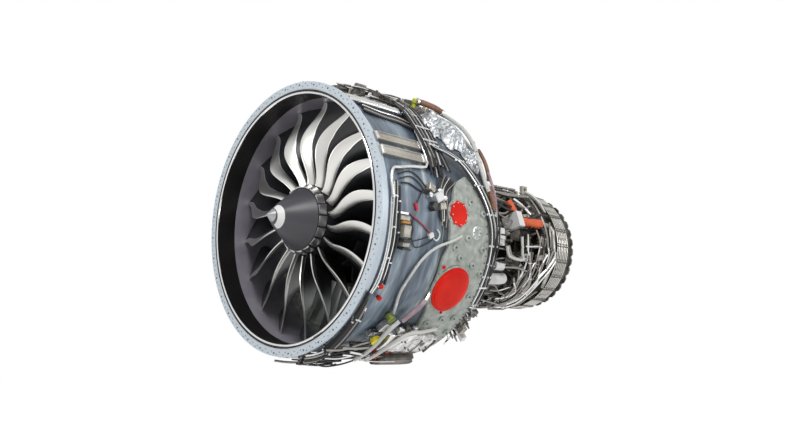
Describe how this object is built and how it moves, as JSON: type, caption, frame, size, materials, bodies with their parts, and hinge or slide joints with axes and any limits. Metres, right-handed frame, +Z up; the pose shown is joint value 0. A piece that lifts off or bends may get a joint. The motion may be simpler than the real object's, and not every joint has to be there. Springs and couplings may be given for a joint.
{
  "type": "geared fan engine",
  "caption": "Geared airliner fan engine without its nacelle: big fan in a blue barrel, pale exit casting with red caps, slim dark core and scalloped rear flange.",
  "frame": {"origin": "centre of the front face of the inlet flange, on the engine axis", "axes": "+Y aft along the engine axis (air flows towards +Y), +Z up, +X to the port side"},
  "size_m": [2.1247, 3.175, 2.1563],
  "materials": {
    "flange_metal": "pale blue-grey anodised flange",
    "barrel_paint": "steel-blue satin paint",
    "liner": "dark perforated acoustic facing",
    "casting": "pale grey-green painted casting",
    "red_cap": "red moulded shipping cap",
    "vane": "satin aluminium",
    "blade": "dark coated blade with a bright metal leading edge",
    "spinner": "dark grey satin paint",
    "hub": "silver platforms",
    "steel": "machined steel",
    "case_metal": "heat-stained metal",
    "dark_case": "dark brown-black",
    "gear_steel": "ground gear steel",
    "hot_metal": "heat-tinted alloy",
    "grey_flange": "matt grey alloy",
    "black_box": "black satin paint",
    "foil": "crumpled metal foil blanket",
    "valve_white": "off-white paint",
    "sleeve_orange": "orange silicone-coated sleeve",
    "cap_yellow": "yellow moulded cap",
    "rail": "beige-grey paint"
  },
  "bodies": {
    "engine": {"fan_case": "barrel_paint", "acoustic_liner": "liner", "fan_exit_case": "casting", "small_port_cover": "red_cap", "exit_guide_vanes": "vane", "core_inlet_case": "case_metal", "inlet_frame": "case_metal", "gear_carrier": "steel", "intermediate_case": "case_metal", "compressor_case": "dark_case", "vane_actuator": "steel", "combustor_case": "dark_case", "combustion_chamber": "hot_metal", "turbine_case": "dark_case", "mid_turbine_frame": "hot_metal", "exhaust_case": "grey_flange", "sump_cover": "hot_metal", "main_bearings": "gear_steel", "accessory_gearbox": "case_metal", "starter": "black_box", "fuel_pump": "steel", "front_mount": "case_metal", "rear_mount": "case_metal", "thrust_links": "steel", "case_rails": "rail", "oil_tank": "case_metal", "oil_cooler": "black_box", "insulated_valve": "foil", "electronic_control": "black_box", "valve_block": "steel", "bleed_valve": "valve_white", "valve_sleeves": "sleeve_orange", "bleed_pipe": "hot_metal", "cooling_manifold": "steel", "core_units": "dark_case", "core_pipes": "steel", "top_units": "case_metal", "case_ducts": "case_metal"},
    "fan": {"spinner": "spinner", "fan_hub": "hub", "fan_blades": "blade", "fan_shaft": "steel", "ring_gear": "gear_steel"},
    "low_spool": {"sun_gear": "gear_steel", "low_shaft": "steel", "low_compressor_rotor": "steel", "low_turbine_rotor": "hot_metal", "low_turbine_blades": "hot_metal"},
    "high_spool": {"high_compressor_rotor": "steel", "high_turbine_rotor": "hot_metal"},
    "tower": {"tower_shaft": "steel"},
    "unison": {"unison_ring": "steel"},
    "rod": {"actuator_rod": "steel"},
    "port_cap": {"large_port_cap": "red_cap"},
    "filler_cap": {"oil_filler_cap": "cap_yellow"},
    "star_1": {"star_gear_1": "gear_steel"},
    "star_2": {"star_gear_2": "gear_steel"},
    "star_3": {"star_gear_3": "gear_steel"},
    "star_4": {"star_gear_4": "gear_steel"},
    "star_5": {"star_gear_5": "gear_steel"}
  },
  "joints": [
    {"name": "fan_spin", "type": "hinge", "parent": "engine", "child": "fan", "pos_m": [0, 0.3, 0], "axis": [0, 1, 0], "continuous": true},
    {"name": "star_1_spin", "type": "hinge", "parent": "engine", "child": "star_1", "pos_m": [0, 0.628, 0.11], "axis": [0, 1, 0], "continuous": true},
    {"name": "star_2_spin", "type": "hinge", "parent": "engine", "child": "star_2", "pos_m": [-0.10462, 0.628, 0.03399], "axis": [0, 1, 0], "continuous": true},
    {"name": "star_3_spin", "type": "hinge", "parent": "engine", "child": "star_3", "pos_m": [-0.06466, 0.628, -0.08899], "axis": [0, 1, 0], "continuous": true},
    {"name": "star_4_spin", "type": "hinge", "parent": "engine", "child": "star_4", "pos_m": [0.06466, 0.628, -0.08899], "axis": [0, 1, 0], "continuous": true},
    {"name": "star_5_spin", "type": "hinge", "parent": "engine", "child": "star_5", "pos_m": [0.10462, 0.628, 0.03399], "axis": [0, 1, 0], "continuous": true},
    {"name": "low_spin", "type": "hinge", "parent": "engine", "child": "low_spool", "pos_m": [0, 0.628, 0], "axis": [0, 1, 0], "continuous": true},
    {"name": "high_spin", "type": "hinge", "parent": "engine", "child": "high_spool", "pos_m": [0, 1.4, 0], "axis": [0, 1, 0], "continuous": true},
    {"name": "tower_spin", "type": "hinge", "parent": "engine", "child": "tower", "pos_m": [0, 1.186, -0.26], "axis": [0, 0, 1], "continuous": true},
    {"name": "unison_turn", "type": "hinge", "parent": "engine", "child": "unison", "pos_m": [0, 1.32, 0], "axis": [0, 1, 0], "range_deg": [0, 4.2]},
    {"name": "rod_slide", "type": "slide", "parent": "engine", "child": "rod", "axis": [0, 0, -1], "range_m": [0, 0.0295]},
    {"name": "port_cap_pull", "type": "slide", "parent": "engine", "child": "port_cap", "axis": [0.8499, 0, -0.527], "range_m": [0, 0.12]},
    {"name": "filler_cap_lift", "type": "slide", "parent": "engine", "child": "filler_cap", "axis": [0.5299, 0, -0.848], "range_m": [0, 0.06]}
  ],
  "couplings": [
    {"joint": "star_1_spin", "follows": "fan_spin", "ratio": 3},
    {"joint": "star_2_spin", "follows": "fan_spin", "ratio": 3},
    {"joint": "star_3_spin", "follows": "fan_spin", "ratio": 3},
    {"joint": "star_4_spin", "follows": "fan_spin", "ratio": 3},
    {"joint": "star_5_spin", "follows": "fan_spin", "ratio": 3},
    {"joint": "low_spin", "follows": "fan_spin", "ratio": -3},
    {"joint": "tower_spin", "follows": "high_spin", "ratio": 1},
    {"joint": "rod_slide", "follows": "unison_turn", "m_per_rad": 0.393}
  ]
}
